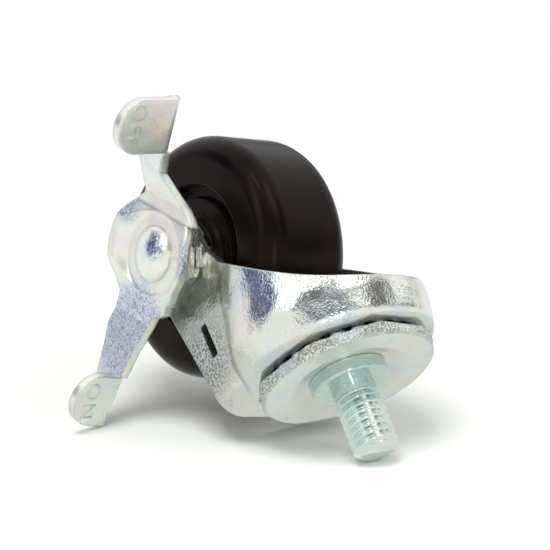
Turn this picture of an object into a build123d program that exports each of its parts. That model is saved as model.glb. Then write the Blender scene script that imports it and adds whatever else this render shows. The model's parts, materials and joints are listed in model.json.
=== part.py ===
# Swivel castor with a threaded stem, a pressed steel fork and a side brake lever.
# Millimetres, +Z up along the stem, origin at the centre of the collar's mounting face.
# The wheel trails towards +X, its axle runs along Y and the brake lever is on the -Y side.
from math import asin, cos, pi, radians, sin, sqrt, tan
import os

from build123d import *

# Stem: 3/8 inch stud, collar and kingpin turned in one piece
stemDiameter = 9.525
stemLength = 15.1
stemChamfer = 1.1
collarThickness = 3.0
collarEdge = 0.5
peenHeight = 2.1
peenEdge = 0.5
seatClearance = 0.02

# Swivel bearing: two rings of 5/32 inch balls between pressed races
ballDiameter = 3.969
ballClearance = 0.065
ballSpacing = 4.246
plateThickness = 2.2
plateCrownDrop = 1.67
plateBend = 2.4
plateEdge = 0.4
rimSides = 8
rimTurn = -73.8
raceGroove = 0.32
lowerRaceThickness = 1.6
lowerRaceRim = 0.6
lowerRaceCorner = 0.9
raceDepth = 0.9

# Fork: one pressing, a bell-shaped head that runs down into two legs
forkSheet = 1.9
forkTop = 5.2
headSkirtRadius = 21.2
headSkirtDrop = 12.9
footOverLeg = 0.885
headCorner = 2.7
skirtRound = 12.0
legOuter = 15.6
legCorner = 4.6
webStep = 1.15
webBend = 0.5
rearTop = 21.0
rearKneeX = 26.5
rearKneeZ = 32.5
tipRadius = 8.0
kneeRound = 14.0
sweepStartX = -10.0
sweepStartShare = 0.235
sweepEndX = 3.3
sweepEndShare = 0.591
slotWidth = 2.0
slotCorner = 0.3
slotLength = 7.6
slotX = 18.1
slotZ = 21.4
slotLean = 3.0

# Wheel: 2 inch, moulded in one piece
wheelRadius = 25.4
wheelWidth = 22.4
wheelShoulder = 4.8
grooveOuter = 15.1
grooveInner = 12.05
grooveDepth = 2.6
hubFaceDrop = 0.8
bossRadius = 8.9
bossRise = 0.2
bossSlope = 0.5
grooveSlope = 0.5
trail = 18.87
wheelHeadroom = 17.27

# Axle: bolt, sleeve, washers and hex nut
axleDiameter = 9.525
axleClearance = 0.07
sleeveRadius = 6.35
wheelClearance = 0.06
endFloat = 0.1
washerRadius = 8.0
headFlats = 14.29
headHeight = 5.6
nutFlats = 17.46
nutThickness = 3.6
hexChamfer = 0.8
nutGap = 0.1
lugWidth = 4.2
lugThickness = 1.5
lugHeight = 1.6
lugClearance = 0.3
lugShift = 1.0

# Brake lever: a pressed arm with an ON tab and an OFF tab, riveted on the bolt's end
leverSheet = 1.9
leverAngle = 37.5
leverHubRadius = 13.3
hubLand = 2.1
dishRun = 2.6
dishRise = 1.9
dishRound = 1.3
lipStep = 1.3
lipTip = 9.0
onLobeTop = 8.0
lipHalf = 4.8
lipEndRun = 4.0
leverTenonRadius = 4.2
rivetRadius = 5.9
rivetHeight = 2.1
rivetEdge = 0.3
armFarEdge = 7.8
armStemEdge = 4.7
armTaper = 7.0
armBend = 2.0
tabBend = 0.6
offCrease = 12.3
offJoggle = 5.2
offJoggleRun = 9.4
offTabStart = 22.2
offTabLength = 11.6
offTabStraight = 9.7
offTabReach = 15.7
offTabEdge = 1.7
offTilt = 3.5
offSplay = 3.9
offLean = 6.2
onCrease = 14.4
onTabStart = 27.1
onTabLength = 11.5
onTabStraight = 6.6
onTabReach = 12.0
onTabEdge = 1.2
onTilt = 6.5
onSplay = -4.5
onLean = 7.0

# Turned sizes of the swivel, as shares of the head's radius at its skirt
collarRadius = 0.3844 * headSkirtRadius
kingpinRadius = 0.2358 * headSkirtRadius
tenonRadius = 0.2075 * headSkirtRadius
peenRadius = 0.3113 * headSkirtRadius
upperPitchRadius = 0.6745 * headSkirtRadius
lowerPitchRadius = 0.4811 * headSkirtRadius
plateRadius = 0.8445 * headSkirtRadius
rimFlatRadius = 0.8467 * headSkirtRadius
rimCornerRadius = 0.9057 * headSkirtRadius
plateDishRadius = 0.4387 * headSkirtRadius
plateCrownRadius = 0.5849 * headSkirtRadius
lowerRaceRadius = 0.6274 * headSkirtRadius
webRadius = 0.7972 * headSkirtRadius
webHoleRadius = 0.3396 * headSkirtRadius
headShoulderRadius = 0.9292 * headSkirtRadius
upperBallCount = int(2 * pi * upperPitchRadius / ballSpacing)
lowerBallCount = int(2 * pi * lowerPitchRadius / ballSpacing)

# Places worked out from the sizes above
axleDrop = wheelRadius + wheelHeadroom
footRadius = legOuter + footOverLeg
dishRimRadius = leverHubRadius - hubLand
dishFloorRadius = dishRimRadius - dishRun
lipRadius = leverHubRadius - lipStep
ballRadius = ballDiameter / 2
seatRadius = ballRadius + ballClearance
plateUnder = -plateCrownDrop - plateThickness
upperBallZ = plateUnder + raceGroove - seatRadius
grooveFloor = upperBallZ - seatRadius
webTop = grooveFloor + webStep + 0.2
webUnder = webTop - forkSheet
lowerBallZ = webUnder + raceGroove / 2 - seatRadius
raceTop = lowerBallZ - seatRadius + raceDepth
raceUnder = lowerBallZ - seatRadius - lowerRaceThickness
legInner = legOuter - forkSheet
axleRadius = axleDiameter / 2
holeRadius = axleRadius + axleClearance
hubHalf = wheelWidth / 2 + bossRise
washerThickness = legInner - hubHalf - endFloat
nutFace = legOuter + nutThickness
leverBack = nutFace + nutGap
leverFront = leverBack + leverSheet
axlePoint = Vector(trail, 0, -axleDrop)
hexSpread = 2 / sqrt(3)
nutFlatAngle = 150
lugReach = nutFlats / 2 + lugClearance + lugThickness / 2
lugX = lugReach * cos(radians(nutFlatAngle)) + lugShift * sin(radians(nutFlatAngle))
lugZ = lugReach * sin(radians(nutFlatAngle)) - lugShift * cos(radians(nutFlatAngle))

# The lever's own plane: x towards the ON tab, y towards the stem, z outwards
leverPlane = Plane(
    origin=(trail, -leverBack, -axleDrop),
    x_dir=(cos(radians(leverAngle)), 0, sin(radians(leverAngle))),
    z_dir=(0, -1, 0),
)
# Lengthwise section of the lever
leverSide = Plane(leverPlane.origin, x_dir=leverPlane.x_dir, z_dir=-leverPlane.y_dir)
# Section through the axle, x forward of the axle and y along it
axleSection = Plane(axlePoint, x_dir=(1, 0, 0), z_dir=(0, 0, 1))

os.makedirs("parts", exist_ok=True)


def axlePlane(y):
    """Plane across the axle at a distance y along it, facing -Y."""
    return Plane(origin=(trail, y, -axleDrop), x_dir=(1, 0, 0), z_dir=(0, -1, 0))


def domeMiddle(radius, rise):
    """Point half way up a spherical dome's profile, as distance from its axis and height."""
    sphere = (radius**2 + rise**2) / (2 * rise)
    half = asin(radius / sphere) / 2
    return sphere * sin(half), rise - sphere * (1 - cos(half))


# Stem
peenMiddle = domeMiddle(peenRadius, peenHeight - peenEdge)
with BuildPart() as stem:
    with BuildSketch(Plane.XZ):
        with BuildLine():
            Polyline(
                (0, stemLength),
                (stemDiameter / 2 - stemChamfer, stemLength),
                (stemDiameter / 2, stemLength - stemChamfer),
                (stemDiameter / 2, 0),
                (collarRadius - collarEdge, 0),
                (collarRadius, -collarEdge),
                (collarRadius, -collarThickness),
                (kingpinRadius, -collarThickness),
                (kingpinRadius, raceTop),
                (tenonRadius, raceTop),
                (tenonRadius, raceUnder),
                (peenRadius, raceUnder),
                (peenRadius, raceUnder - peenEdge),
            )
            ThreePointArc(
                (peenRadius, raceUnder - peenEdge),
                (peenMiddle[0], raceUnder - peenEdge - peenMiddle[1]),
                (0, raceUnder - peenHeight),
            )
            Line((0, raceUnder - peenHeight), (0, stemLength))
        make_face()
    revolve(axis=Axis.Z)
stem.part.label = "stem"
export_step(stem.part, "parts/stem.step")

# Top plate: the upper race, dished round the collar
with BuildPart() as top_plate:
    with BuildSketch(Plane.XZ):
        with BuildLine():
            FilletPolyline(
                (kingpinRadius + seatClearance, -collarThickness),
                (plateDishRadius, -collarThickness),
                (plateCrownRadius, -plateCrownDrop),
                (plateRadius, -plateCrownDrop),
                radius=plateBend,
            )
            offset(amount=plateThickness, side=Side.RIGHT)
        make_face()
    revolve(axis=Axis.Z)
    # Rim flared to its lower edge and crimped to eight flats
    with BuildSketch(Plane.XZ):
        with BuildLine():
            Polyline(
                (upperPitchRadius, -plateCrownDrop),
                (plateRadius, -plateCrownDrop),
                (rimCornerRadius, plateUnder),
                (upperPitchRadius, plateUnder),
                close=True,
            )
        make_face()
    revolve(axis=Axis.Z)
    rimEdges = top_plate.edges().filter_by(GeomType.CIRCLE).group_by(Axis.Z)[-1]
    fillet(rimEdges.sort_by(SortBy.RADIUS)[-1], radius=plateEdge)
    with BuildSketch():
        RegularPolygon(rimFlatRadius, rimSides, major_radius=False, rotation=rimTurn)
    extrude(amount=plateUnder - 1, mode=Mode.INTERSECT)
    with BuildSketch(Plane.XZ):
        with Locations((upperPitchRadius, upperBallZ)):
            Circle(seatRadius)
    revolve(axis=Axis.Z, mode=Mode.SUBTRACT)
top_plate.part.label = "top_plate"
export_step(top_plate.part, "parts/top_plate.step")

# Ball rings
with BuildPart() as upper_balls:
    with Locations((0, 0, upperBallZ)):
        with PolarLocations(upperPitchRadius, upperBallCount):
            Sphere(ballRadius)
upper_balls.part.label = "upper_balls"
export_step(upper_balls.part, "parts/upper_balls.step")

with BuildPart() as lower_balls:
    with Locations((0, 0, lowerBallZ)):
        with PolarLocations(lowerPitchRadius, lowerBallCount):
            Sphere(ballRadius)
lower_balls.part.label = "lower_balls"
export_step(lower_balls.part, "parts/lower_balls.step")

# Lower race: a cup held up by the kingpin's peened end
with BuildPart() as lower_race:
    with BuildSketch(Plane.XZ):
        with BuildLine():
            Polyline(
                (tenonRadius + seatClearance, raceTop),
                (lowerRaceRadius - lowerRaceCorner, raceTop),
                (lowerRaceRadius, raceTop + lowerRaceRim),
                (lowerRaceRadius, raceUnder + lowerRaceCorner),
                (lowerRaceRadius - lowerRaceCorner, raceUnder),
                (tenonRadius + seatClearance, raceUnder),
                close=True,
            )
        make_face()
    revolve(axis=Axis.Z)
    with BuildSketch(Plane.XZ):
        with Locations((lowerPitchRadius, lowerBallZ)):
            Circle(seatRadius)
    revolve(axis=Axis.Z, mode=Mode.SUBTRACT)
lower_race.part.label = "lower_race"
export_step(lower_race.part, "parts/lower_race.step")


def parallelLine(points, distance):
    """Mitred copy of an open line, at a distance to its right."""
    copy = []
    for i, point in enumerate(points):
        here = Vector(*point)
        before = (here - Vector(*points[max(i - 1, 0)])).normalized() if i else None
        after = (Vector(*points[i + 1]) - here).normalized() if i + 1 < len(points) else None
        before = before or after
        after = after or before
        normal = Vector(before.Y + after.Y, -before.X - after.X) * 0.5
        shifted = here + normal * (distance / normal.dot(normal))
        copy.append((shifted.X, shifted.Y))
    return copy


# Upper side of the web between the centre hole and the crest round the upper balls
webLine = [
    (webHoleRadius / 2, webTop),
    (upperPitchRadius - 2.1, webTop),
    (upperPitchRadius - 1.0, grooveFloor),
    (upperPitchRadius + 1.1, grooveFloor),
    (webRadius, -forkTop),
]


def aboveLine(line):
    """Turned solid that fills the space above a line of the web."""
    with BuildPart() as above:
        with BuildSketch(Plane.XZ) as section:
            with BuildLine():
                Polyline((0, line[0][1]), *line, (line[-1][0], 0), (0, 0), close=True)
            make_face()
            corners = section.vertices().filter_by(lambda v: v.X > webHoleRadius)
            fillet([v for v in corners if v.Y < line[0][1] + webBend / 2], radius=webBend)
        revolve(axis=Axis.Z)
    return above.part


def forkForm(inset):
    """Solid outer form of the fork, or its hollow when inset by the sheet."""
    with BuildPart() as form:
        with BuildSketch(Plane.XZ) as profile:
            with BuildLine():
                Polyline(
                    (0, -forkTop - inset),
                    (headShoulderRadius - inset, -forkTop - inset),
                    (headSkirtRadius - inset, -headSkirtDrop),
                    (footRadius - inset, -axleDrop),
                    (0, -axleDrop),
                    close=True,
                )
            make_face()
            rightSide = profile.vertices().sort_by(Axis.X)
            fillet(rightSide[-1], radius=skirtRound)
            shoulder = profile.vertices().group_by(Axis.Y)[-1].sort_by(Axis.X)[-1]
            fillet(shoulder, radius=headCorner - inset * 0.6)
        revolve(axis=Axis.Z)
        with BuildSketch(Plane.YZ) as block:
            with BuildLine():
                Polyline(
                    (-legOuter + inset, -forkTop - inset),
                    (legOuter - inset, -forkTop - inset),
                    (legOuter - inset, -axleDrop - 2 * tipRadius),
                    (-legOuter + inset, -axleDrop - 2 * tipRadius),
                    close=True,
                )
            make_face()
            fillet(block.vertices().group_by(Axis.Y)[-1], radius=legCorner - inset)
        extrude(amount=rearKneeX + tipRadius)
    return form.part


forkOuter = forkForm(0) - aboveLine(webLine)
forkHollow = forkForm(forkSheet) - aboveLine(parallelLine(webLine, forkSheet))

# Side outline of the fork: skirt edge, leg and rounded tip
tipFront = (trail - tipRadius, -axleDrop)
tipBack = (trail + tipRadius, -axleDrop)
with BuildSketch(Plane.XZ) as forkOutline:
    with BuildLine():
        Spline(
            (-headSkirtRadius - 2, -headSkirtDrop + 0.4),
            (sweepStartX, -headSkirtDrop - sweepStartShare * (axleDrop - headSkirtDrop)),
            (sweepEndX, -headSkirtDrop - sweepEndShare * (axleDrop - headSkirtDrop)),
            tipFront,
            tangents=((1, -0.3), (0.05, -1)),
        )
        ThreePointArc(tipFront, (trail, -axleDrop - tipRadius), tipBack)
        FilletPolyline(tipBack, (rearKneeX, -rearKneeZ), (rearTop, -forkTop), radius=kneeRound)
        Polyline(
            (rearTop, -forkTop),
            (rearTop, 0),
            (-headSkirtRadius - 2, 0),
            (-headSkirtRadius - 2, -headSkirtDrop + 0.4),
        )
    make_face()

with BuildPart() as fork:
    add(forkOuter)
    add(forkHollow, mode=Mode.SUBTRACT)
    extrude(forkOutline.sketch, amount=2 * headSkirtRadius, both=True, mode=Mode.INTERSECT)
    with BuildSketch():
        Circle(webHoleRadius)
    extrude(amount=-headSkirtDrop, mode=Mode.SUBTRACT)
    # Ball tracks on both sides of the web
    for pitch, height in ((upperPitchRadius, upperBallZ), (lowerPitchRadius, lowerBallZ)):
        with BuildSketch(Plane.XZ):
            with Locations((pitch, height)):
                Circle(seatRadius)
        revolve(axis=Axis.Z, mode=Mode.SUBTRACT)
    # Axle holes in both legs
    with BuildSketch(axlePlane(0)):
        Circle(holeRadius)
    extrude(amount=legOuter + 1, both=True, mode=Mode.SUBTRACT)
    # Slot in the lever side leg
    with BuildSketch(Plane.XZ):
        with Locations(Location((slotX, -slotZ, 0), slotLean)):
            RectangleRounded(slotWidth, slotLength, slotCorner)
    extrude(amount=headSkirtRadius, mode=Mode.SUBTRACT)
    # Lug that keeps the nut from turning, beside the nut's front upper flat
    with BuildSketch(axlePlane(-legInner - lugThickness / 2)):
        with Locations(Location((lugX, lugZ, 0), nutFlatAngle)):
            Rectangle(lugThickness, lugWidth)
    extrude(amount=legOuter + lugHeight - legInner - lugThickness / 2)
fork.part.label = "fork"
export_step(fork.part, "parts/fork.step")

# Wheel
with BuildPart() as wheel:
    half = wheelWidth / 2
    with BuildSketch(axleSection) as section:
        with BuildLine():
            Polyline(
                (sleeveRadius + wheelClearance, -hubHalf),
                (bossRadius, -hubHalf),
                (bossRadius + bossSlope, -half + hubFaceDrop),
                (grooveInner, -half + hubFaceDrop),
                (grooveInner + grooveSlope, -half + grooveDepth),
                (grooveOuter - grooveSlope, -half + grooveDepth),
                (grooveOuter, -half),
                (wheelRadius, -half),
                (wheelRadius, half),
                (grooveOuter, half),
                (grooveOuter - grooveSlope, half - grooveDepth),
                (grooveInner + grooveSlope, half - grooveDepth),
                (grooveInner, half - hubFaceDrop),
                (bossRadius + bossSlope, half - hubFaceDrop),
                (bossRadius, hubHalf),
                (sleeveRadius + wheelClearance, hubHalf),
                close=True,
            )
        make_face()
        fillet(section.vertices().group_by(Axis.X)[-1], radius=wheelShoulder)
    revolve(axis=Axis(axlePoint, (0, 1, 0)))
wheel.part.label = "wheel"
export_step(wheel.part, "parts/wheel.step")

# Axle sleeve that the wheel turns on
with BuildPart() as axle_sleeve:
    with BuildSketch(axlePlane(0)):
        Circle(sleeveRadius)
        Circle(holeRadius, mode=Mode.SUBTRACT)
    extrude(amount=hubHalf - endFloat, both=True)
axle_sleeve.part.label = "axle_sleeve"
export_step(axle_sleeve.part, "parts/axle_sleeve.step")

# Thrust washers between the hub and the legs
for name, side in (("lever_side_washer", -1), ("far_side_washer", 1)):
    with BuildPart() as washer:
        with BuildSketch(axlePlane(side * legInner)):
            Circle(washerRadius)
            Circle(holeRadius, mode=Mode.SUBTRACT)
        extrude(amount=side * washerThickness)
    washer.part.label = name
    export_step(washer.part, "parts/" + name + ".step")


def hexForm(y, flats, length):
    """Hexagon towards -Y from y, with the corners turned off on both faces."""
    corner = flats / 2 * hexSpread
    crown = corner - flats / 2
    with BuildPart() as form:
        with BuildSketch(axlePlane(y)):
            RegularPolygon(corner, 6)
        extrude(amount=length)
        with BuildSketch(axleSection):
            with BuildLine():
                Polyline(
                    (0, y),
                    (flats / 2, y),
                    (corner + crown, y - 2 * hexChamfer),
                    (corner + crown, y - length + 2 * hexChamfer),
                    (flats / 2, y - length),
                    (0, y - length),
                    close=True,
                )
            make_face()
        revolve(axis=Axis(axlePoint, (0, 1, 0)), mode=Mode.INTERSECT)
    return form.part


# Hex nut on the lever side leg
with BuildPart() as axle_nut:
    add(hexForm(-legOuter, nutFlats, nutThickness))
    with BuildSketch(axlePlane(-legOuter)):
        Circle(holeRadius)
    extrude(amount=nutThickness, mode=Mode.SUBTRACT)
axle_nut.part.label = "axle_nut"
export_step(axle_nut.part, "parts/axle_nut.step")

# Axle bolt: hex head, shank, and the end riveted over the lever
rivetMiddle = domeMiddle(rivetRadius, rivetHeight - rivetEdge)
with BuildPart() as axle_bolt:
    add(hexForm(legOuter + headHeight, headFlats, headHeight))
    with BuildSketch(axlePlane(legOuter)):
        Circle(axleRadius)
    extrude(amount=legOuter + leverBack)
    with BuildSketch(axlePlane(-leverBack)):
        Circle(leverTenonRadius)
    extrude(amount=leverSheet)
    with BuildSketch(axleSection):
        with BuildLine():
            Polyline(
                (0, -leverFront),
                (rivetRadius, -leverFront),
                (rivetRadius, -leverFront - rivetEdge),
            )
            ThreePointArc(
                (rivetRadius, -leverFront - rivetEdge),
                (rivetMiddle[0], -leverFront - rivetEdge - rivetMiddle[1]),
                (0, -leverFront - rivetHeight),
            )
            Line((0, -leverFront - rivetHeight), (0, -leverFront))
        make_face()
    revolve(axis=Axis(axlePoint, (0, 1, 0)))
axle_bolt.part.label = "axle_bolt"
export_step(axle_bolt.part, "parts/axle_bolt.step")

# Brake lever hub: a round dish, its rim turned up to both sides and flat towards the arms
def hubForm(back):
    """Solid below the hub's outer face, or below its inner face at back = 0."""
    with BuildPart() as form:
        with BuildSketch(leverSide):
            with BuildLine():
                Polyline(
                    (0, -leverSheet),
                    (0, back),
                    (dishFloorRadius, back),
                    (dishRimRadius, back + dishRise),
                    (leverHubRadius, back + dishRise),
                    (leverHubRadius, -leverSheet),
                    close=True,
                )
            dish = make_face()
            slopeEnds = [v for v in dish.vertices() if dishFloorRadius - 1 < v.X < dishRimRadius + 1]
            fillet(slopeEnds, radius=dishRound)
        revolve(axis=Axis(leverPlane.origin, leverPlane.z_dir))
        with BuildSketch(leverSide) as wedge:
            with BuildLine():
                Polyline(
                    (-2 * leverHubRadius, back),
                    (-lipHalf - lipEndRun, back),
                    (-lipHalf, back + dishRise),
                    (lipHalf, back + dishRise),
                    (lipHalf + lipEndRun, back),
                    (2 * leverHubRadius, back),
                    (2 * leverHubRadius, -leverSheet),
                    (-2 * leverHubRadius, -leverSheet),
                    close=True,
                )
            bridge = make_face()
            lipEnds = [v for v in bridge.vertices() if abs(v.X) < leverHubRadius]
            fillet(lipEnds, radius=dishRound)
        extrude(amount=2 * leverHubRadius, both=True, mode=Mode.INTERSECT)
    return form.part


def tabPart(direction, start, length, straight, reach, edge, lift, angles):
    """Tab folded out from an arm's stem side edge: tilt, splay and lean in degrees."""
    tilt, splay, lean = angles
    place = Location((direction * start, edge, lift), (0, -direction * tilt, direction * splay))
    armPlane = Plane(leverPlane.location * place)
    acrossArm = Plane(armPlane.origin, x_dir=armPlane.y_dir, z_dir=armPlane.x_dir)
    leanSin = sin(radians(lean))
    leanCos = cos(radians(lean))
    facing = (armPlane.z_dir * leanSin - armPlane.y_dir * leanCos) * direction
    tabPlane = Plane(armPlane.origin, x_dir=armPlane.x_dir * direction, z_dir=facing)
    tall = reach + leverSheet
    with BuildPart() as tab:
        with BuildSketch(acrossArm):
            with BuildLine():
                FilletPolyline(
                    (-3 * leverSheet, 0),
                    (0, 0),
                    (tall * leanSin, tall * leanCos),
                    radius=tabBend + leverSheet,
                )
                offset(amount=leverSheet, side=Side.LEFT)
            make_face()
        extrude(amount=direction * length)
        with BuildSketch(tabPlane):
            with BuildLine():
                Polyline(
                    (0, straight),
                    (0, -leverSheet),
                    (length, -leverSheet),
                    (length, straight),
                )
                ThreePointArc((length, straight), (length / 2, reach), (0, straight))
            make_face()
        extrude(amount=reach, both=True, mode=Mode.INTERSECT)
        # Diagonal end of the strip behind the tab
        with BuildSketch(armPlane):
            with BuildLine():
                Polyline(
                    (direction * (length + 1), -leverSheet - tabBend),
                    (direction * length, -leverSheet - tabBend),
                    (direction * (length - 2 * leverSheet), -4 * leverSheet),
                    (direction * (length + 1), -4 * leverSheet),
                    close=True,
                )
            make_face()
        extrude(amount=leverSheet, both=True, mode=Mode.SUBTRACT)
    return tab.part


onSlope = tan(radians(onTilt))
offSlope = tan(radians(offTilt))
onLift = (onTabStart - onCrease) * onSlope
onEnd = onTabStart + onTabLength * cos(radians(onTilt))
offEnd = offTabStart + offTabLength * cos(radians(offTilt))
offTab = tabPart(
    -1,
    offTabStart,
    offTabLength,
    offTabStraight,
    offTabReach,
    offTabEdge,
    offJoggle,
    (offTilt, offSplay, offLean),
)
onTab = tabPart(
    1,
    onTabStart,
    onTabLength,
    onTabStraight,
    onTabReach,
    onTabEdge,
    onLift,
    (onTilt, onSplay, onLean),
)
bendOuter = tabBend + leverSheet

# Hub, its stem side lip set in from the corners of the flat lobes
with BuildPart() as hub:
    add(hubForm(leverSheet) - hubForm(0))
    with BuildSketch(leverPlane):
        with Locations((0, leverHubRadius)):
            Rectangle(2 * lipTip, 2 * leverHubRadius)
        with Locations((leverHubRadius, onLobeTop + leverHubRadius)):
            Rectangle(2 * leverHubRadius, 2 * leverHubRadius)
        Circle(lipRadius, mode=Mode.SUBTRACT)
    extrude(amount=4 * leverSheet, both=True, mode=Mode.SUBTRACT)

# Arms: one strip with the crease lines, cut to the outline and joined to the hub and tabs
with BuildPart() as brake_lever:
    with BuildSketch(leverSide):
        with BuildLine():
            FilletPolyline(
                (-offEnd, offJoggle + (offEnd - offCrease - offJoggleRun) * offSlope),
                (-offCrease - offJoggleRun, offJoggle),
                (-offCrease, 0),
                (onCrease, 0),
                (onEnd, (onEnd - onCrease) * onSlope),
                radius=armBend,
            )
            offset(amount=leverSheet, side=Side.LEFT)
        make_face()
    extrude(amount=leverHubRadius, both=True)
    with BuildSketch(leverPlane):
        with BuildLine():
            Polyline(
                (-offEnd + 2, offTabEdge - bendOuter),
                (-offEnd + armTaper, -armFarEdge + 0.4),
                (-offCrease, -armFarEdge),
                (-dishFloorRadius, -armFarEdge),
                (dishFloorRadius, -armFarEdge),
                (onCrease, -armFarEdge),
                (onCrease + 3.6, -armFarEdge - 0.8),
                (onTabStart - 5, -armFarEdge + 0.2),
                (onTabStart + 2, -armFarEdge + 1.2),
                (onEnd, onTabEdge - bendOuter - 4),
                (onEnd, onTabEdge - bendOuter - 1),
                (onTabStart, onTabEdge - bendOuter),
                (onTabStart, onTabEdge),
                (onCrease + 6.6, onTabEdge + 1.1),
                (onCrease + 2.6, armStemEdge - 1.2),
                (onCrease - 1.4, armStemEdge),
                (0, dishFloorRadius - 1),
                (-offCrease, armStemEdge),
                (-offCrease - 4.7, offTabEdge - 2.7),
                (-offTabStart, offTabEdge),
                (-offTabStart, offTabEdge - bendOuter),
                close=True,
            )
        make_face()
    extrude(amount=8 * leverSheet, both=True, mode=Mode.INTERSECT)
    add(hub.part)
    add(offTab)
    add(onTab)
    with BuildSketch(leverPlane):
        Circle(leverTenonRadius + seatClearance)
    extrude(amount=2 * leverSheet, mode=Mode.SUBTRACT)
brake_lever.part.label = "brake_lever"
export_step(brake_lever.part, "parts/brake_lever.step")
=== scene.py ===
import json
import math

import bmesh
import bpy
import numpy as np
from mathutils import Matrix, Vector


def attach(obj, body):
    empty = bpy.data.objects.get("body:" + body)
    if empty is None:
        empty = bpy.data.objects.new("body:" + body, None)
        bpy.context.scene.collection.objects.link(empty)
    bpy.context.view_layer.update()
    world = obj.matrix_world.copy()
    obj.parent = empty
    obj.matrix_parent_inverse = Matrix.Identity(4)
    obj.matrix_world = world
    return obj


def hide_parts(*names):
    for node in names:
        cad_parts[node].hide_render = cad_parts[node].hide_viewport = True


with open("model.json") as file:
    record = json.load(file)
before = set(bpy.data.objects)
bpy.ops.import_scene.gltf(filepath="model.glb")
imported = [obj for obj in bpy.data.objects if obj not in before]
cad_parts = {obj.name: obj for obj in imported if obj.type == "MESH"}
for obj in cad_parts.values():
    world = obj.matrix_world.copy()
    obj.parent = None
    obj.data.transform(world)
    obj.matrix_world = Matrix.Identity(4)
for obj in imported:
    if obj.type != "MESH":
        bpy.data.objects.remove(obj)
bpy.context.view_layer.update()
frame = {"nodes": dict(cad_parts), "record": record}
print("castor frame loaded")

mm = 0.001
weldDistance = 0.002 * mm


def linear(hexColour):
    channels = [int(hexColour[i:i + 2], 16) / 255 for i in (1, 3, 5)]
    flat = [c / 12.92 if c <= 0.04045 else ((c + 0.055) / 1.055) ** 2.4 for c in channels]
    return (*flat, 1)


def addNode(tree, kind, inputs=None, **settings):
    # inputs: a socket to link or a plain value, by the input's name or number
    node = tree.nodes.new(kind)
    for key, value in settings.items():
        setattr(node, key, value)
    for key, value in (inputs or {}).items():
        if isinstance(value, bpy.types.NodeSocket):
            tree.links.new(value, node.inputs[key])
        else:
            node.inputs[key].default_value = value
    return node


def mixColours(tree, factor, first, second):
    # first is a socket and second a hex colour; a mix node's colour inputs are its sixth and
    # seventh, counted from 0
    mixed = addNode(tree, "ShaderNodeMix", data_type="RGBA")
    factorInput, firstInput, secondInput = (mixed.inputs[i] for i in (0, 6, 7))
    tree.links.new(factor, factorInput)
    tree.links.new(first, firstInput)
    secondInput.default_value = linear(second)
    return mixed.outputs[2]


def placed(place, right, up, back):
    # the matrix of something at a place, with its own x, y and z along the three directions
    return Matrix.Translation(place) @ Matrix((right, up, back)).transposed().to_4x4()


def startMaterial(name):
    material = bpy.data.materials.new(name)
    material.use_nodes = True
    tree = material.node_tree
    tree.nodes.clear()
    output = addNode(tree, "ShaderNodeOutputMaterial")
    place = addNode(tree, "ShaderNodeTexCoord").outputs["Object"]
    return material, tree, output, place


# Zinc electroplate, clear passivated, on pressed or turned steel: a bright metal mirror that the
# steel's grain breaks into speckles, with faint blue, yellow and pink tints and a few dull stains;
# some patches of blue and grey flecks are painted reflection of dark surroundings in its colour.
# Where "metal" is under 1, the rest is the pale haze of the clear film.
zincDetail = {
    "coolAt": 0.34, "plainAt": 0.47, "warmAt": 0.57, "pinkAt": 0.68,
    "stainFade": 0.12, "markFade": 0.1, "facingFrom": 0.7, "facingFull": 0.85,
    "smoother": 0.05, "rougher": 0.1, "bevelSamples": 6,
}


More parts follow.
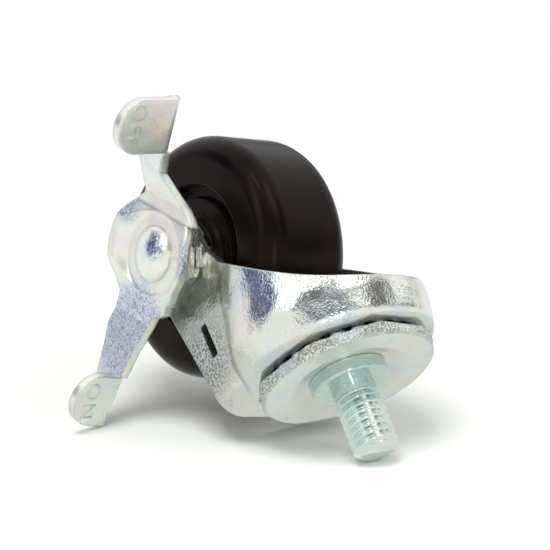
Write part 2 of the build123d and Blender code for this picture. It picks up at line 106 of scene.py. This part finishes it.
def zincPlate(name, look):
    detail = zincDetail
    material, tree, output, place = startMaterial(name)
    tint = addNode(tree, "ShaderNodeTexNoise",
                   {"Vector": place, "Scale": 1 / (look["tintSize"] * mm), "Detail": 2.0})
    tints = addNode(tree, "ShaderNodeValToRGB", {"Fac": tint.outputs["Fac"]})
    ramp = tints.color_ramp
    ramp.elements[0].position = detail["coolAt"]
    ramp.elements[0].color = linear(look["coolTint"])
    ramp.elements[1].position = detail["pinkAt"]
    ramp.elements[1].color = linear(look["pinkTint"])
    ramp.elements.new(detail["plainAt"]).color = linear(look["colour"])
    ramp.elements.new(detail["warmAt"]).color = linear(look["warmTint"])
    stain = addNode(tree, "ShaderNodeTexNoise",
                    {"Vector": place, "Scale": 1 / (look["stainSize"] * mm), "Detail": 6.0,
                     "Roughness": 0.65})
    stainMask = addNode(tree, "ShaderNodeMapRange",
                        {"Value": stain.outputs["Fac"], "From Min": look["stainFrom"],
                         "From Max": look["stainFrom"] + detail["stainFade"],
                         "To Max": look["stainAmount"]})
    colour = mixColours(tree, stainMask.outputs["Result"], tints.outputs["Color"],
                        look["stainColour"])
    outward = addNode(tree, "ShaderNodeTexCoord").outputs["Normal"]
    # patches mixed into the base colour round a centre: the brown one is a real stain, the blue
    # ones and the leg's grey ones are painted reflection of dark surroundings
    for mark in look["marks"]:
        reach = addNode(tree, "ShaderNodeVectorMath",
                        {0: place, 1: [c * mm for c in mark["centre"]]}, operation="DISTANCE")
        near = addNode(tree, "ShaderNodeMapRange",
                       {"Value": reach.outputs["Value"], "From Min": mark["clearAt"] * mm,
                        "From Max": mark["fullAt"] * mm}, interpolation_type="SMOOTHSTEP")
        flecks = addNode(tree, "ShaderNodeTexNoise",
                         {"Vector": place, "Scale": 1 / (mark["size"] * mm), "Detail": 3.0})
        amount = addNode(tree, "ShaderNodeMapRange",
                         {"Value": flecks.outputs["Fac"], "From Min": mark["from"],
                          "From Max": mark["from"] + detail["markFade"],
                          "To Max": mark["amount"]})
        share = addNode(tree, "ShaderNodeMath",
                        {0: near.outputs["Result"], 1: amount.outputs["Result"]},
                        operation="MULTIPLY")
        if "facing" in mark:
            alignment = addNode(tree, "ShaderNodeVectorMath", {0: outward, 1: mark["facing"]},
                                operation="DOT_PRODUCT")
            faced = addNode(tree, "ShaderNodeMapRange",
                            {"Value": alignment.outputs["Value"],
                             "From Min": detail["facingFrom"], "From Max": detail["facingFull"]})
            share = addNode(tree, "ShaderNodeMath",
                            {0: share.outputs[0], 1: faced.outputs["Result"]},
                            operation="MULTIPLY")
        colour = mixColours(tree, share.outputs[0], colour, mark["colour"])
    edges = addNode(tree, "ShaderNodeBevel", {"Radius": look["edgeRound"] * mm},
                    samples=detail["bevelSamples"])
    waves = addNode(tree, "ShaderNodeTexNoise",
                    {"Vector": place, "Scale": 1 / (look["waveSize"] * mm), "Detail": 1.0})
    coarse = addNode(tree, "ShaderNodeBump",
                     {"Height": waves.outputs["Fac"], "Normal": edges.outputs["Normal"],
                      "Distance": look["waveHeight"] * mm})
    grain = addNode(tree, "ShaderNodeTexNoise",
                    {"Vector": place, "Scale": 1 / (look["grainSize"] * mm), "Detail": 2.0,
                     "Roughness": 0.6})
    fine = addNode(tree, "ShaderNodeBump",
                   {"Height": grain.outputs["Fac"], "Normal": coarse.outputs["Normal"],
                    "Distance": look["grainHeight"] * mm})
    rough = addNode(tree, "ShaderNodeMapRange",
                    {"Value": stain.outputs["Fac"],
                     "To Min": look["roughness"] - detail["smoother"],
                     "To Max": look["roughness"] + detail["rougher"]})
    shader = addNode(tree, "ShaderNodeBsdfPrincipled",
                     {"Base Color": colour, "Metallic": look["metal"],
                      "Roughness": rough.outputs["Result"], "Normal": fine.outputs["Normal"]})
    tree.links.new(shader.outputs["BSDF"], output.inputs["Surface"])
    return material


# Moulded hard rubber: nearly black with a brown cast, a satin skin and slight mould marks.
def hardRubber(look):
    material, tree, output, place = startMaterial("mouldedHardRubber")
    cloud = addNode(tree, "ShaderNodeTexNoise",
                    {"Vector": place, "Scale": 1 / (look["cloudSize"] * mm), "Detail": 3.0})
    colours = addNode(tree, "ShaderNodeValToRGB", {"Fac": cloud.outputs["Fac"]})
    colours.color_ramp.elements[0].position = look["darkAt"]
    colours.color_ramp.elements[0].color = linear(look["darkColour"])
    colours.color_ramp.elements[1].position = look["paleAt"]
    colours.color_ramp.elements[1].color = linear(look["colour"])
    skin = addNode(tree, "ShaderNodeTexNoise",
                   {"Vector": place, "Scale": 1 / (look["skinSize"] * mm), "Detail": 3.0})
    edges = addNode(tree, "ShaderNodeBevel", {"Radius": look["edgeRound"] * mm},
                    samples=look["bevelSamples"])
    bump = addNode(tree, "ShaderNodeBump",
                   {"Height": skin.outputs["Fac"], "Normal": edges.outputs["Normal"],
                    "Distance": look["skinHeight"] * mm})
    rough = addNode(tree, "ShaderNodeMapRange",
                    {"Value": cloud.outputs["Fac"],
                     "To Min": look["roughness"] - look["smoother"],
                     "To Max": look["roughness"] + look["rougher"]})
    shader = addNode(tree, "ShaderNodeBsdfPrincipled",
                     {"Base Color": colours.outputs["Color"], "IOR": look["refraction"],
                      "Specular Tint": linear(look["sheen"]),
                      "Roughness": rough.outputs["Result"], "Normal": bump.outputs["Normal"]})
    tree.links.new(shader.outputs["BSDF"], output.inputs["Surface"])
    return material


# sizes in millimetres; the steel's real grain is under 0.1 mm, so it is drawn coarser to show;
# marks are patches round a centre: the brown one on the leg is a real stain, the blue and grey
# ones on fork, lever and rivet are painted reflection of dark surroundings, the plate's edge gets
# fine dark grey flecks and the collar teal ones; a mark is gone at clearAt and whole at fullAt
# from its centre, its flecks start where their noise passes "from", and "facing" keeps it to faces
# turned that way, so a painted reflection stays on one side
forkLook = {
    "colour": "#DCE2DC", "coolTint": "#D4DCDF", "warmTint": "#DFDFD5", "pinkTint": "#DEDAD8",
    "stainColour": "#8F897C", "stainFrom": 0.6, "stainAmount": 0.5,
    "tintSize": 9.0, "stainSize": 6.0, "grainSize": 0.55, "grainHeight": 0.1,
    "waveSize": 5.0, "waveHeight": 0.45, "edgeRound": 0.5, "roughness": 0.14, "metal": 0.92,
    "marks": [
        # a dull grey patch over the leg panel: painted darker reflection, where the panel mirrors
        # the hub, lever and floor edges
        {"centre": (18.5, -15.6, -24.0), "clearAt": 19.0, "fullAt": 9.0, "size": 7.0, "from": 0.2,
         "amount": 0.6, "colour": "#9EA49A"},
        {"centre": (8.0, -16.6, -31.0), "clearAt": 8.0, "fullAt": 1.0, "size": 1.8, "from": 0.42,
         "amount": 0.7, "colour": "#85705C"},
        # fine blue-grey flecks on the lower leg: painted dark reflection
        {"centre": (22.0, -15.6, -18.0), "clearAt": 12.0, "fullAt": 3.0, "size": 0.6, "from": 0.46,
         "amount": 0.75, "colour": "#525C70"},
    ],
}
leverLook = {
    **forkLook, "colour": "#E2E9E1", "coolTint": "#DAE2E5", "warmTint": "#E7E7DB",
    "pinkTint": "#E6E0DE", "stainAmount": 0.1, "grainSize": 0.5, "grainHeight": 0.016,
    "waveHeight": 0.16, "edgeRound": 0.9, "roughness": 0.26, "metal": 0.7,
    "marks": [
        # painted reflection: a pale blue cast and dark blue flecks on the lever's faces turned to
        # -y, where it mirrors dark blue surroundings
        {"centre": (34.0, -22.0, -31.0), "clearAt": 14.0, "fullAt": 8.0, "size": 6.0, "from": 0.15,
         "amount": 0.6, "colour": "#BAC5DC", "facing": (0, -1, 0)},
        {"centre": (33.0, -22.0, -31.8), "clearAt": 13.0, "fullAt": 8.0, "size": 0.42,
         "from": 0.48, "amount": 0.6, "colour": "#5C6894", "facing": (0, -1, 0)},
        # two small spots of dark blue flecks: painted reflection of dark surroundings
        {"centre": (10.5, -23.1, -34.9), "clearAt": 5.5, "fullAt": 1.0, "size": 0.5, "from": 0.42,
         "amount": 0.7, "colour": "#6F7BA4"},
        {"centre": (20.2, -22.3, -55.0), "clearAt": 4.5, "fullAt": 1.0, "size": 0.5, "from": 0.42,
         "amount": 0.7, "colour": "#6F7BA4"},
        {"centre": (-7.9, -31.2, -59.4), "clearAt": 8.0, "fullAt": 0.0, "size": 4.0, "from": 0.2,
         "amount": 0.6, "colour": "#F6DCE3"},
        {"centre": (-4.2, -29.6, -57.2), "clearAt": 4.0, "fullAt": 0.0, "size": 4.0, "from": 0.2,
         "amount": 0.6, "colour": "#F0E4C4"},
    ],
}
rivetLook = {
    **leverLook, "grainHeight": 0.05, "waveHeight": 0.5, "roughness": 0.12,
    "marks": [
        # a dark blue patch of flecks in the rivet's head: painted reflection of dark surroundings
        {"centre": (15.8, -23.2, -42.6), "clearAt": 3.8, "fullAt": 1.5, "size": 0.7, "from": 0.42,
         "amount": 0.8, "colour": "#5E699A"},
    ],
}
plateLook = {
    **forkLook, "grainHeight": 0.03, "waveHeight": 0.3, "roughness": 0.3, "metal": 0.62,
    "marks": [
        {"centre": (0.0, 0.0, -3.3), "clearAt": 17.3, "fullAt": 18.5, "size": 0.4, "from": 0.42,
         "amount": 0.75, "colour": "#646862"},
    ],
}
turnedLook = {
    **forkLook, "colour": "#E1ECE6", "coolTint": "#D6E6E2", "warmTint": "#E4EEE4",
    "pinkTint": "#E1EAE5", "stainAmount": 0.2, "grainHeight": 0.02, "waveHeight": 0.08,
    "edgeRound": 0.15, "roughness": 0.1, "metal": 0.82,
    "marks": [
        {"centre": (0.0, 0.0, -3.0), "clearAt": 11.0, "fullAt": 8.6, "size": 1.4, "from": 0.3,
         "amount": 0.4, "colour": "#8DB2B4"},
    ],
}
bearingLook = {**turnedLook, "colour": "#B9BCBE", "coolTint": "#AEB4BA", "warmTint": "#BDB9B0",
               "pinkTint": "#BAB4B2", "metal": 1.0, "marks": []}
rubberLook = {
    "colour": "#1A1210", "darkColour": "#0D0908", "sheen": "#E8CFC2", "cloudSize": 14.0,
    "skinSize": 1.6, "skinHeight": 0.02, "edgeRound": 0.5, "roughness": 0.24,
    "darkAt": 0.35, "paleAt": 0.7, "smoother": 0.06, "rougher": 0.08, "refraction": 1.22,
    "bevelSamples": 6,
}
finishes = {
    "clear_zinc": zincPlate("clearZincOnPressedSteel", forkLook),
    "lever_zinc": zincPlate("clearZincOnLever", leverLook),
    "bright_zinc": zincPlate("brightZincOnTurnedSteel", turnedLook),
    "bearing_steel": zincPlate("polishedBearingSteel", bearingLook),
    "hard_rubber": hardRubber(rubberLook),
}
ownFinishes = {
    "top_plate": zincPlate("clearZincOnDishedPlate", plateLook),
    "axle_bolt": zincPlate("clearZincOnRivetedEnd", rivetLook),
}
for part in frame["record"]["subparts"]:
    node = frame["nodes"][part["node"]]
    node.data.materials.clear()
    node.data.materials.append(ownFinishes.get(part["node"], finishes[part["material_slot"]]))
print("finishes made")


def addPiece(name, mesh, slotName, body):
    if not mesh.materials:
        mesh.materials.append(finishes[slotName])
    piece = bpy.data.objects.new(name, mesh)
    bpy.context.scene.collection.objects.link(piece)
    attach(piece, body)
    return piece


# Threaded stem with its collar and kingpin, turned in one piece
stemSizes = {
    "crestRadius": 4.7625, "rootRadius": 3.95, "neckRadius": 4.5, "length": 15.1,
    "endChamfer": 1.1, "pitch": 1.5875, "threadStart": 2.2, "runOut": 1.4,
    "ridgeSharpness": 0.85, "stepsRound": 96, "stepsPerTurn": 22, "endRing": 0.6,
    "collarRadius": 8.15, "collarThickness": 3.0, "collarEdge": 0.5, "collarUnderEdge": 0.3,
    "kingpinRadius": 5.0, "tenonRadius": 4.4, "raceTop": -11.238, "raceUnder": -13.738,
    "peenRadius": 6.6, "peenEdge": 0.5, "peenHeight": 2.1, "peenSteps": 8, "sharpAngle": 32,
}


def threadTree(material):
    # the stem's skin from collar to end: a grid wrapped round, with a rounded helical ridge
    tree = bpy.data.node_groups.new("stemThread", "GeometryNodeTree")
    tree.interface.new_socket("Geometry", in_out="OUTPUT", socket_type="NodeSocketGeometry")
    sockets = {}
    for label in ("Pitch", "Root Radius", "Crest Radius", "Neck Radius", "Thread Start", "Run Out",
                  "Length", "End Radius"):
        sockets[label] = tree.interface.new_socket(
            label, in_out="INPUT", socket_type="NodeSocketFloat").identifier
    for label in ("Steps Round", "Steps Along"):
        sockets[label] = tree.interface.new_socket(
            label, in_out="INPUT", socket_type="NodeSocketInt").identifier
    given = addNode(tree, "NodeGroupInput").outputs

    def compute(operation, first, second=0.0):
        node = addNode(tree, "ShaderNodeMath", {0: first, 1: second}, operation=operation)
        return node.outputs[0]

    grid = addNode(tree, "GeometryNodeMeshGrid",
                   {"Size X": 1.0, "Size Y": 1.0, "Vertices X": given["Steps Round"],
                    "Vertices Y": given["Steps Along"]})
    spot = addNode(tree, "ShaderNodeSeparateXYZ",
                   {0: addNode(tree, "GeometryNodeInputPosition").outputs[0]}).outputs
    turn = compute("ADD", spot["X"], 0.5)
    height = compute("MULTIPLY", compute("ADD", spot["Y"], 0.5), given["Length"])
    phase = compute("SUBTRACT", compute("DIVIDE", height, given["Pitch"]), turn)
    wave = compute("COSINE", compute("MULTIPLY", phase, 2 * math.pi))
    ridge = compute("MULTIPLY", compute("ADD", wave, 1.0), 0.5)
    ridge = compute("POWER", ridge, stemSizes["ridgeSharpness"])
    depth = compute("SUBTRACT", given["Crest Radius"], given["Root Radius"])
    threadRadius = compute("ADD", given["Root Radius"], compute("MULTIPLY", ridge, depth))
    begun = addNode(tree, "ShaderNodeMapRange",
                    {"Value": height, "From Min": given["Thread Start"],
                     "From Max": compute("ADD", given["Thread Start"], given["Run Out"])},
                    interpolation_type="SMOOTHSTEP").outputs["Result"]
    radius = addNode(tree, "ShaderNodeMix",
                     {0: begun, 2: given["Neck Radius"], 3: threadRadius}).outputs[0]
    chamfer = compute("ADD", given["End Radius"], compute("SUBTRACT", given["Length"], height))
    radius = compute("MINIMUM", radius, chamfer)
    angle = compute("MULTIPLY", turn, 2 * math.pi)
    wrapped = addNode(tree, "ShaderNodeCombineXYZ",
                      {"X": compute("MULTIPLY", radius, compute("COSINE", angle)),
                       "Y": compute("MULTIPLY", radius, compute("SINE", angle)), "Z": height})
    moved = addNode(tree, "GeometryNodeSetPosition",
                    {"Geometry": grid.outputs["Mesh"], "Position": wrapped.outputs[0]})
    joined = addNode(tree, "GeometryNodeMergeByDistance",
                     {"Geometry": moved.outputs[0], "Distance": weldDistance})
    plain = addNode(tree, "GeometryNodeRealizeInstances", {"Geometry": joined.outputs[0]})
    coated = addNode(tree, "GeometryNodeSetMaterial",
                     {"Geometry": plain.outputs[0], "Material": material})
    addNode(tree, "NodeGroupOutput", {0: coated.outputs[0]})
    return tree, sockets


def grownMesh(name, tree, sockets, values):
    # the geometry nodes' result as a plain mesh
    holder = bpy.data.objects.new(name, bpy.data.meshes.new(name))
    bpy.context.scene.collection.objects.link(holder)
    modifier = holder.modifiers.new(name, "NODES")
    modifier.node_group = tree
    for label, value in values.items():
        modifier[sockets[label]] = value
    graph = bpy.context.evaluated_depsgraph_get()
    mesh = bpy.data.meshes.new_from_object(holder.evaluated_get(graph))
    holder.modifiers.clear()
    bpy.data.objects.remove(holder)
    return mesh


def arc(centre, radius, start, end, steps=5):
    # points of a rounded corner in a lathe profile, angles in degrees
    turns = [math.radians(start + (end - start) * i / steps) for i in range(steps + 1)]
    return [(centre[0] + radius * math.cos(t), centre[1] + radius * math.sin(t)) for t in turns]


def turned(bm, profile, steps):
    # rings of an axis-up lathe, profile in millimetres from top to bottom, poles closed
    rings = []
    for radius, height in profile:
        if radius * mm < weldDistance:
            rings.append([bm.verts.new((0, 0, height * mm))])
            continue
        turns = [2 * math.pi * i / steps for i in range(steps)]
        rings.append([
            bm.verts.new((radius * mm * math.cos(t), radius * mm * math.sin(t), height * mm))
            for t in turns])
    for upper, lower in zip(rings, rings[1:]):
        for i in range(steps):
            j = (i + 1) % steps
            corners = [upper[i % len(upper)], lower[i % len(lower)], lower[j % len(lower)],
                       upper[j % len(upper)]]
            bm.faces.new(dict.fromkeys(corners))


def finishedMesh(name, bm, sharpAngle):
    bmesh.ops.remove_doubles(bm, verts=bm.verts, dist=weldDistance)
    bmesh.ops.recalc_face_normals(bm, faces=bm.faces)
    mesh = bpy.data.meshes.new(name)
    bm.to_mesh(mesh)
    bm.free()
    mesh.polygons.foreach_set("use_smooth", [True] * len(mesh.polygons))
    mesh.set_sharp_from_angle(angle=math.radians(sharpAngle))
    return mesh


s = stemSizes
tree, sockets = threadTree(finishes["bright_zinc"])
stepsAlong = int(s["length"] / s["pitch"] * s["stepsPerTurn"])
endRadius = s["crestRadius"] - s["endChamfer"]
threadMesh = grownMesh("thread", tree, sockets, {
    "Pitch": s["pitch"] * mm, "Root Radius": s["rootRadius"] * mm,
    "Crest Radius": s["crestRadius"] * mm, "Neck Radius": s["neckRadius"] * mm,
    "Thread Start": s["threadStart"] * mm, "Run Out": s["runOut"] * mm,
    "Length": s["length"] * mm, "End Radius": endRadius * mm,
    "Steps Round": s["stepsRound"] + 1, "Steps Along": stepsAlong,
})
bm = bmesh.new()
bm.from_mesh(threadMesh)
turned(bm, [(0, s["length"]), (endRadius - s["endRing"], s["length"]), (endRadius, s["length"])],
       s["stepsRound"])
peenCrown = s["peenHeight"] - s["peenEdge"]
peenSphere = (s["peenRadius"] ** 2 + peenCrown ** 2) / (2 * peenCrown)
peenTurn = math.degrees(math.asin(s["peenRadius"] / peenSphere))
peenMiddle = (0, s["raceUnder"] - s["peenHeight"] + peenSphere)
edge, underEdge = s["collarEdge"], s["collarUnderEdge"]
turned(bm, [
    (s["neckRadius"], 0),
    *arc((s["collarRadius"] - edge, -edge), edge, 90, 0),
    *arc((s["collarRadius"] - underEdge, underEdge - s["collarThickness"]), underEdge, 0, -90),
    (s["kingpinRadius"], -s["collarThickness"]),
    (s["kingpinRadius"], s["raceTop"]),
    (s["tenonRadius"], s["raceTop"]),
    (s["tenonRadius"], s["raceUnder"]),
    (s["peenRadius"], s["raceUnder"]),
    *arc(peenMiddle, peenSphere, -90 + peenTurn, -90, s["peenSteps"]),
], s["stepsRound"])
stemMesh = finishedMesh("threadedStem", bm, s["sharpAngle"])
bpy.data.meshes.remove(threadMesh)
stemPiece = addPiece("threadedStem", stemMesh, "bright_zinc", "mounting")
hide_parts("stem")
print("threaded stem made")


# Words on the lever's tabs, drawn as fine raised lines
wordSizes = {
    "leverAngle": 37.5, "axle": (18.87, -42.67), "leverFace": -21.2,
    "tabFrom": 20.0, "tabFacing": 0.97, "raised": 0.08, "round": 0.07,
    "OFF": {"height": 4.7, "spacing": 1.15, "along": -27.9, "out": 15.2},
    "ON": {"height": 5.0, "spacing": 1.2, "along": 32.2, "out": 8.0},
}


def tabFace(side, axle, lengthwise, towardStem):
    # the flat face that a tab turns to the stem, found among the lever's own triangles
    area = 0
    centre = Vector((0, 0, 0))
    normal = Vector((0, 0, 0))
    for face in frame["nodes"]["brake_lever"].data.polygons:
        along = (face.center - axle).dot(lengthwise) * side
        facing = face.normal.dot(towardStem)
        if along > wordSizes["tabFrom"] * mm and facing > wordSizes["tabFacing"]:
            area += face.area
            centre += face.center * face.area
            normal += face.normal * face.area
    return centre / area, normal.normalized()


def wordPiece(word):
    size = wordSizes[word]
    turn = math.radians(wordSizes["leverAngle"])
    lengthwise = Vector((math.cos(turn), 0, math.sin(turn)))
    towardStem = Vector((-math.sin(turn), 0, math.cos(turn)))
    axle = Vector((wordSizes["axle"][0], 0, wordSizes["axle"][1])) * mm
    side = 1 if word == "ON" else -1
    centre, normal = tabFace(side, axle, lengthwise, towardStem)
    reading = (lengthwise - normal * lengthwise.dot(normal)).normalized()
    up = normal.cross(reading)
    along = size["along"] * mm - (centre - axle).dot(lengthwise)
    lift = ((wordSizes["leverFace"] - size["out"]) * mm - centre.y) / up.y
    place = centre + reading * along + up * lift
    words = bpy.data.curves.new("word" + word, "FONT")
    words.body = word
    words.align_x = "CENTER"
    words.align_y = "CENTER"
    words.size = size["height"] * mm
    words.space_character = size["spacing"]
    words.extrude = wordSizes["raised"] * mm
    words.bevel_depth = wordSizes["round"] * mm
    words.offset = -wordSizes["round"] * mm
    holder = bpy.data.objects.new("word" + word, words)
    bpy.context.scene.collection.objects.link(holder)
    graph = bpy.context.evaluated_depsgraph_get()
    mesh = bpy.data.meshes.new_from_object(holder.evaluated_get(graph))
    bpy.data.objects.remove(holder)
    mesh.transform(placed(place, reading, up, normal))
    addPiece("word" + word, mesh, "lever_zinc", "lever_body")


for word in ("ON", "OFF"):
    wordPiece(word)
print("words made")


# Camera, floor, lamps and world, in the castor's own frame
view = {
    "place": (-0.3394, -0.3575, 0.2045), "lens": 174.55,
    "sensorWidth": 36, "clipStart": 0.01,
    "right": (-0.562, 0.761, 0.324), "up": (-0.536, -0.036, -0.844),
    "back": (-0.631, -0.647, 0.428),
}
camera = bpy.data.objects.new("photoView", bpy.data.cameras.new("photoView"))
camera.data.lens = view["lens"]
camera.data.sensor_width = view["sensorWidth"]
camera.data.clip_start = view["clipStart"]
camera.matrix_world = placed(view["place"], view["right"], view["up"], view["back"])
bpy.context.scene.collection.objects.link(camera)
bpy.context.scene.camera = camera

stage = {
    "down": (0.660, 0.225, 0.717), "halfWidth": 0.8, "floorColour": "#F2F4F0",
    "whiteFrom": 0.10, "whiteAt": 0.22, "roomLight": 0.72, "heartHeight": 0.03,
    "cardClearAt": 0.5, "cardFullAt": 0.28,
}
down = Vector(stage["down"]).normalized()
lowest = 0
for node in frame["nodes"].values():
    places = np.array([v.co for v in node.data.vertices])
    lowest = max(lowest, (places @ np.array(down)).max())
across = Vector(view["right"])
across = (across - down * across.dot(down)).normalized()
away = (-down).cross(across)
middle = down * lowest


def stagePoint(x, y, height):
    # metres right of the castor, away from the camera, and above the floor
    return middle + across * x + away * y - down * height


heart = stagePoint(0, 0, stage["heartHeight"])
square = ((-1, -1), (1, -1), (1, 1), (-1, 1))


def addSheet(name, places, material):
    mesh = bpy.data.meshes.new(name)
    mesh.from_pydata([tuple(p) for p in places], [], [tuple(range(len(places)))])
    mesh.materials.append(material)
    sheet = bpy.data.objects.new(name, mesh)
    bpy.context.scene.collection.objects.link(sheet)
    return sheet


# Pale paper under the castor, fading to plain white, and see-through from below
floorMaterial, tree, output, place = startMaterial("palePaper")
paper = addNode(tree, "ShaderNodeBsdfDiffuse", {"Color": linear(stage["floorColour"])})
white = addNode(tree, "ShaderNodeEmission", {"Color": (1, 1, 1, 1), "Strength": 1.0})
spread = addNode(tree, "ShaderNodeVectorMath", {0: place, 1: tuple(middle)}, operation="DISTANCE")
faded = addNode(tree, "ShaderNodeMapRange",
                {"Value": spread.outputs["Value"], "From Min": stage["whiteFrom"],
                 "From Max": stage["whiteAt"]}, interpolation_type="SMOOTHSTEP")
surface = addNode(tree, "ShaderNodeMixShader",
                  {0: faded.outputs["Result"], 1: paper.outputs[0], 2: white.outputs[0]})
clear = addNode(tree, "ShaderNodeBsdfTransparent")
behind = addNode(tree, "ShaderNodeNewGeometry").outputs["Backfacing"]
sided = addNode(tree, "ShaderNodeMixShader",
                {0: behind, 1: surface.outputs[0], 2: clear.outputs[0]})
tree.links.new(sided.outputs[0], output.inputs["Surface"])
half = stage["halfWidth"]
addSheet("paperFloor", [stagePoint(x * half, y * half, 0) for x, y in square], floorMaterial)

# Soft-edged cards round the castor that only its gloss sees: the dark ones give the metal its
# deep reflections, the bright ones its white ones. Angles in degrees, azimuth 0 away from the
# camera and rising to the right, elevation above the floor.
cards = {
    "leftDarkCard": {"azimuth": -84, "elevation": 23, "wide": 48, "tall": 40,
                     "colour": "#182F74", "strength": 1.0, "away": 0.46},
    "behindDarkCard": {"azimuth": -146, "elevation": 55, "wide": 38, "tall": 66,
                       "colour": "#3A414D", "strength": 1.0, "away": 0.45},
    "farDarkCard": {"azimuth": 168, "elevation": 44, "wide": 56, "tall": 26,
                    "colour": "#4A5256", "strength": 1.0, "away": 0.46},
    "rightDarkCard": {"azimuth": 104, "elevation": 43, "wide": 42, "tall": 56,
                      "colour": "#3C4347", "strength": 1.0, "away": 0.45},
    "lowRightDarkCard": {"azimuth": 78, "elevation": 9, "wide": 56, "tall": 14,
                         "colour": "#454C50", "strength": 1.0, "away": 0.46},
    "leftBrightCard": {"azimuth": -110, "elevation": 43, "wide": 26, "tall": 44,
                       "colour": "#FFFFFF", "strength": 2.4, "away": 0.44},
    "highBrightCard": {"azimuth": 123, "elevation": 66, "wide": 26, "tall": 40,
                       "colour": "#FFFFFF", "strength": 3.0, "away": 0.43},
    "behindBrightCard": {"azimuth": 172, "elevation": 19, "wide": 7, "tall": 22,
                         "colour": "#FFFFFF", "strength": 10.0, "away": 0.43},
    "topBrightCard": {"azimuth": -124, "elevation": 70, "wide": 16, "tall": 9,
                      "colour": "#FFFFFF", "strength": 8.0, "away": 0.43},
    "lowFarCard": {"azimuth": 15, "elevation": 10, "wide": 66, "tall": 17,
                   "colour": "#878E90", "strength": 1.0, "away": 0.46},
    "rightBrightCard": {"azimuth": 72, "elevation": 26, "wide": 30, "tall": 18,
                        "colour": "#FFFFFF", "strength": 1.3, "away": 0.44},
    "floorPaleCard": {"azimuth": 0, "elevation": -89, "wide": 155, "tall": 155,
                      "colour": "#EEF2EC", "strength": 0.9, "away": 0.027},
}


def cardMaterial(name, card):
    # fades from its middle to clear at its edge, by the card's own UV map
    material, tree, output = startMaterial(name)[:3]
    spot = addNode(tree, "ShaderNodeTexCoord").outputs["UV"]
    reach = addNode(tree, "ShaderNodeVectorMath", {0: spot, 1: (0.5, 0.5, 0)},
                    operation="DISTANCE")
    fade = addNode(tree, "ShaderNodeMapRange",
                   {"Value": reach.outputs["Value"], "From Min": stage["cardClearAt"],
                    "From Max": stage["cardFullAt"]}, interpolation_type="SMOOTHSTEP")
    clear = addNode(tree, "ShaderNodeBsdfTransparent")
    glow = addNode(tree, "ShaderNodeEmission",
                   {"Color": linear(card["colour"]), "Strength": card["strength"]})
    mixed = addNode(tree, "ShaderNodeMixShader",
                    {0: fade.outputs["Result"], 1: clear.outputs[0], 2: glow.outputs[0]})
    tree.links.new(mixed.outputs[0], output.inputs["Surface"])
    return material


def addCard(name, card):
    turn = math.radians(card["azimuth"])
    rise = math.radians(card["elevation"])
    away = card["away"]
    reach = away * math.cos(rise)
    centre = stagePoint(reach * math.sin(turn), reach * math.cos(turn),
                        stage["heartHeight"] + away * math.sin(rise))
    facing = (heart - centre).normalized()
    sideways = (-down).cross(facing).normalized()
    upward = facing.cross(sideways)
    wide = away * math.tan(math.radians(card["wide"] / 2))
    tall = away * math.tan(math.radians(card["tall"] / 2))
    sheet = addSheet(name, [centre + sideways * x * wide + upward * y * tall for x, y in square],
                     cardMaterial(name, card))
    uvMap = sheet.data.uv_layers.new(name="UVMap")
    for corner, (x, y) in zip(uvMap.data, square):
        corner.uv = (x / 2 + 0.5, y / 2 + 0.5)
    sheet.visible_camera = False
    sheet.visible_diffuse = False
    sheet.visible_shadow = False
    sheet.visible_transmission = False


for name, card in cards.items():
    addCard(name, card)


# Lamps: place in metres right of the castor, away from the camera and above the floor, width and
# height in metres, power in watts
lamps = {
    "overheadSoftbox": {"place": (-0.1, -0.25, 0.7), "width": 0.36, "height": 0.36, "power": 3.2},
    "sideSoftbox": {"place": (0.5, -0.3, 0.45), "width": 0.08, "height": 0.3, "power": 0.6},
}
for name, size in lamps.items():
    lamp = bpy.data.objects.new(name, bpy.data.lights.new(name, "AREA"))
    lamp.data.shape = "RECTANGLE"
    lamp.data.size = size["width"]
    lamp.data.size_y = size["height"]
    lamp.data.energy = size["power"]
    place = stagePoint(*size["place"])
    turn = (place - heart).to_track_quat("Z", "Y").to_matrix()
    lamp.matrix_world = Matrix.Translation(place) @ turn.to_4x4()
    lamp.visible_glossy = False  # the bright cards stand for the lamps in the gloss
    bpy.context.scene.collection.objects.link(lamp)

world = bpy.data.worlds.new("whiteRoom")
bpy.context.scene.world = world
world.use_nodes = True
tree = world.node_tree
tree.nodes.clear()
rays = addNode(tree, "ShaderNodeLightPath").outputs
seen = addNode(tree, "ShaderNodeMath", {0: rays["Is Camera Ray"], 1: rays["Is Glossy Ray"]},
               operation="MAXIMUM")
seen = addNode(tree, "ShaderNodeMath", {0: seen.outputs[0], 1: rays["Is Transmission Ray"]},
               operation="MAXIMUM")
strength = addNode(tree, "ShaderNodeMapRange",
                   {"Value": seen.outputs[0], "To Min": stage["roomLight"]})
sky = addNode(tree, "ShaderNodeBackground",
              {"Color": (1, 1, 1, 1), "Strength": strength.outputs["Result"]})
addNode(tree, "ShaderNodeOutputWorld", {"Surface": sky.outputs[0]})
bpy.context.scene.view_settings.view_transform = "Standard"
print("stage set")
